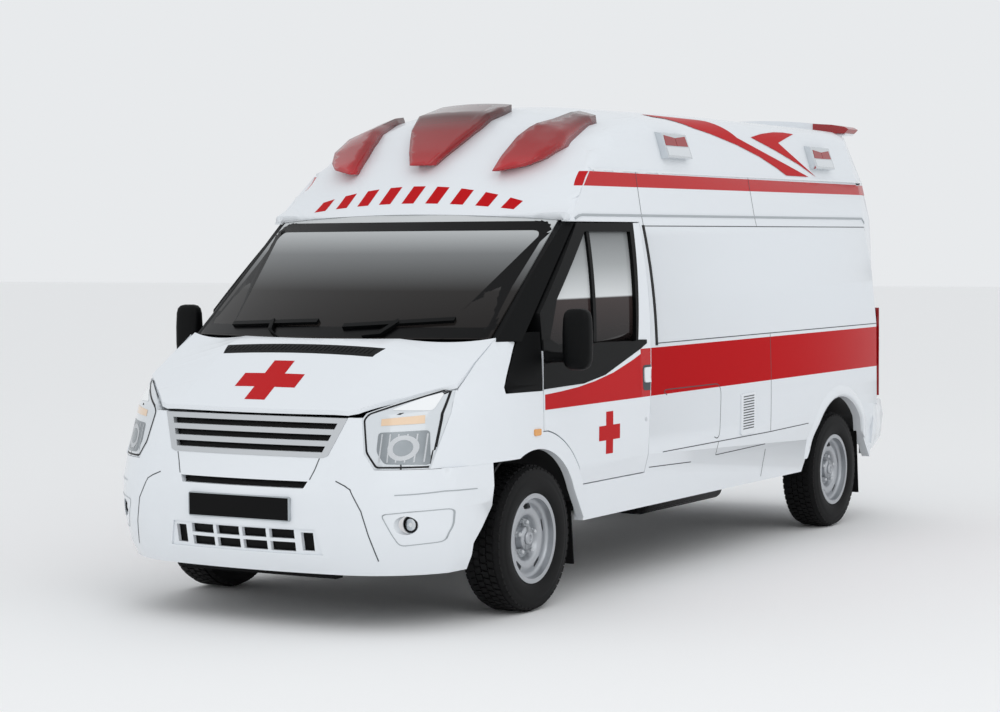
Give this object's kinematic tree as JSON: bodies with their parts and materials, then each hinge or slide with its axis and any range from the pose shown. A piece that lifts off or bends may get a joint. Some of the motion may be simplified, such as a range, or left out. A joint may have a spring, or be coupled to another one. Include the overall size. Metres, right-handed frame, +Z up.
{
  "type": "long high-roofed van ambulance",
  "caption": "Long-wheelbase panel van ambulance with a raised roof, beacons, opening cab and rear doors, lifting bonnet, steered front wheels and rolling wheels.",
  "frame": {"origin": "under the middle of the bounding box, on the ground", "axes": "+X forward, +Y to the vehicle's left, +Z up"},
  "size_m": [5.78, 2.456, 2.5398],
  "materials": {
    "white_paint": "glossy white enamel over steel",
    "white_grp": "glossy white gel coat",
    "white_bumper": "body-coloured moulded bumper",
    "black_trim": "grained black plastic",
    "silver_trim": "silver-painted plastic",
    "dark_steel": "black chassis paint",
    "bare_steel": "plain steel",
    "cast_metal": "cast",
    "silver_wheel": "silver wheel enamel",
    "tyre": "black tyre rubber",
    "rubber": "black rubber",
    "glass": "tinted safety glass",
    "red_lens": "clear red lamp lens",
    "lamp_clear": "clear lamp lens",
    "mirror_black": "black mirror shell",
    "seat_cloth": "dark woven cloth",
    "dash_plastic": "soft-grained dark plastic"
  },
  "bodies": {
    "body": {"underbody": "dark_steel", "body_side_left": "white_paint", "body_side_right": "white_paint", "sliding_door": "white_paint", "rear_frame": "white_paint", "high_roof": "white_grp", "cab_frame": "black_trim", "bulkhead": "white_paint", "front_wheelhouses": "dark_steel", "rear_wheelhouses": "dark_steel", "front_wings": "white_paint", "corner_trims": "black_trim", "front_bumper": "white_bumper", "grille": "silver_trim", "headlamps": "lamp_clear", "fog_lamps": "lamp_clear", "windscreen": "glass", "rear_bumper": "white_bumper", "mud_flaps": "rubber", "side_flashers": "silver_trim", "roof_beacons_front": "red_lens", "engine_block": "cast_metal", "fuel_tank": "dark_steel", "exhaust": "bare_steel", "rear_axle": "dark_steel", "dashboard": "dash_plastic", "steering_wheel": "dash_plastic", "cab_seats": "seat_cloth", "rear_beacons": "red_lens", "roof_spoiler": "white_grp", "tail_lamps": "red_lens", "lower_grille": "white_bumper", "propshaft": "dark_steel", "number_plate": "black_trim"},
    "cab_door_left": {"cab_door_left": "white_paint", "door_glass_left": "glass", "mirror_left": "mirror_black"},
    "rear_door_left": {"rear_door_left": "white_paint", "rear_glass_left": "glass"},
    "knuckle_left": {"knuckle_left": "dark_steel"},
    "front_wheel_left": {"tyre_front_left": "tyre", "wheel_front_left": "silver_wheel"},
    "rear_wheel_left": {"tyre_rear_left": "tyre", "wheel_rear_left": "silver_wheel"},
    "cab_door_right": {"cab_door_right": "white_paint", "door_glass_right": "glass", "mirror_right": "mirror_black"},
    "rear_door_right": {"rear_door_right": "white_paint", "rear_glass_right": "glass"},
    "knuckle_right": {"knuckle_right": "dark_steel"},
    "front_wheel_right": {"tyre_front_right": "tyre", "wheel_front_right": "silver_wheel"},
    "rear_wheel_right": {"tyre_rear_right": "tyre", "wheel_rear_right": "silver_wheel"},
    "bonnet": {"bonnet": "white_paint", "bonnet_vent": "black_trim"}
  },
  "joints": [
    {"name": "cab_door_left_swing", "type": "hinge", "parent": "body", "child": "cab_door_left", "pos_m": [1.811, 0.987, 1], "axis": [0, 0, -1], "range_deg": [0, 65]},
    {"name": "rear_door_left_swing", "type": "hinge", "parent": "body", "child": "rear_door_left", "pos_m": [-2.8989, 0.799, 0.56857], "axis": [-0.0802, 0, -0.9968], "range_deg": [0, 180]},
    {"name": "steer_left", "type": "hinge", "parent": "body", "child": "knuckle_left", "pos_m": [1.855, 0.725, 0.35], "axis": [0, 0, 1], "range_deg": [-35, 35]},
    {"name": "front_wheel_left_spin", "type": "hinge", "parent": "knuckle_left", "child": "front_wheel_left", "pos_m": [1.855, 0.87, 0.35], "axis": [0, 1, 0], "continuous": true},
    {"name": "rear_wheel_left_spin", "type": "hinge", "parent": "body", "child": "rear_wheel_left", "pos_m": [-1.895, 0.852, 0.35], "axis": [0, 1, 0], "continuous": true},
    {"name": "cab_door_right_swing", "type": "hinge", "parent": "body", "child": "cab_door_right", "pos_m": [1.811, -0.987, 1], "axis": [0, 0, 1], "range_deg": [0, 65]},
    {"name": "rear_door_right_swing", "type": "hinge", "parent": "body", "child": "rear_door_right", "pos_m": [-2.8989, -0.799, 0.56857], "axis": [0.0802, 0, 0.9968], "range_deg": [0, 180]},
    {"name": "steer_right", "type": "hinge", "parent": "body", "child": "knuckle_right", "pos_m": [1.855, -0.725, 0.35], "axis": [0, 0, 1], "range_deg": [-35, 35]},
    {"name": "front_wheel_right_spin", "type": "hinge", "parent": "knuckle_right", "child": "front_wheel_right", "pos_m": [1.855, -0.87, 0.35], "axis": [0, 1, 0], "continuous": true},
    {"name": "rear_wheel_right_spin", "type": "hinge", "parent": "body", "child": "rear_wheel_right", "pos_m": [-1.895, -0.852, 0.35], "axis": [0, 1, 0], "continuous": true},
    {"name": "bonnet_lift", "type": "hinge", "parent": "body", "child": "bonnet", "pos_m": [2.051, 0, 1.318], "axis": [0, -1, 0], "range_deg": [0, 50]}
  ],
  "couplings": [
    {"joint": "steer_right", "follows": "steer_left", "ratio": 1}
  ]
}
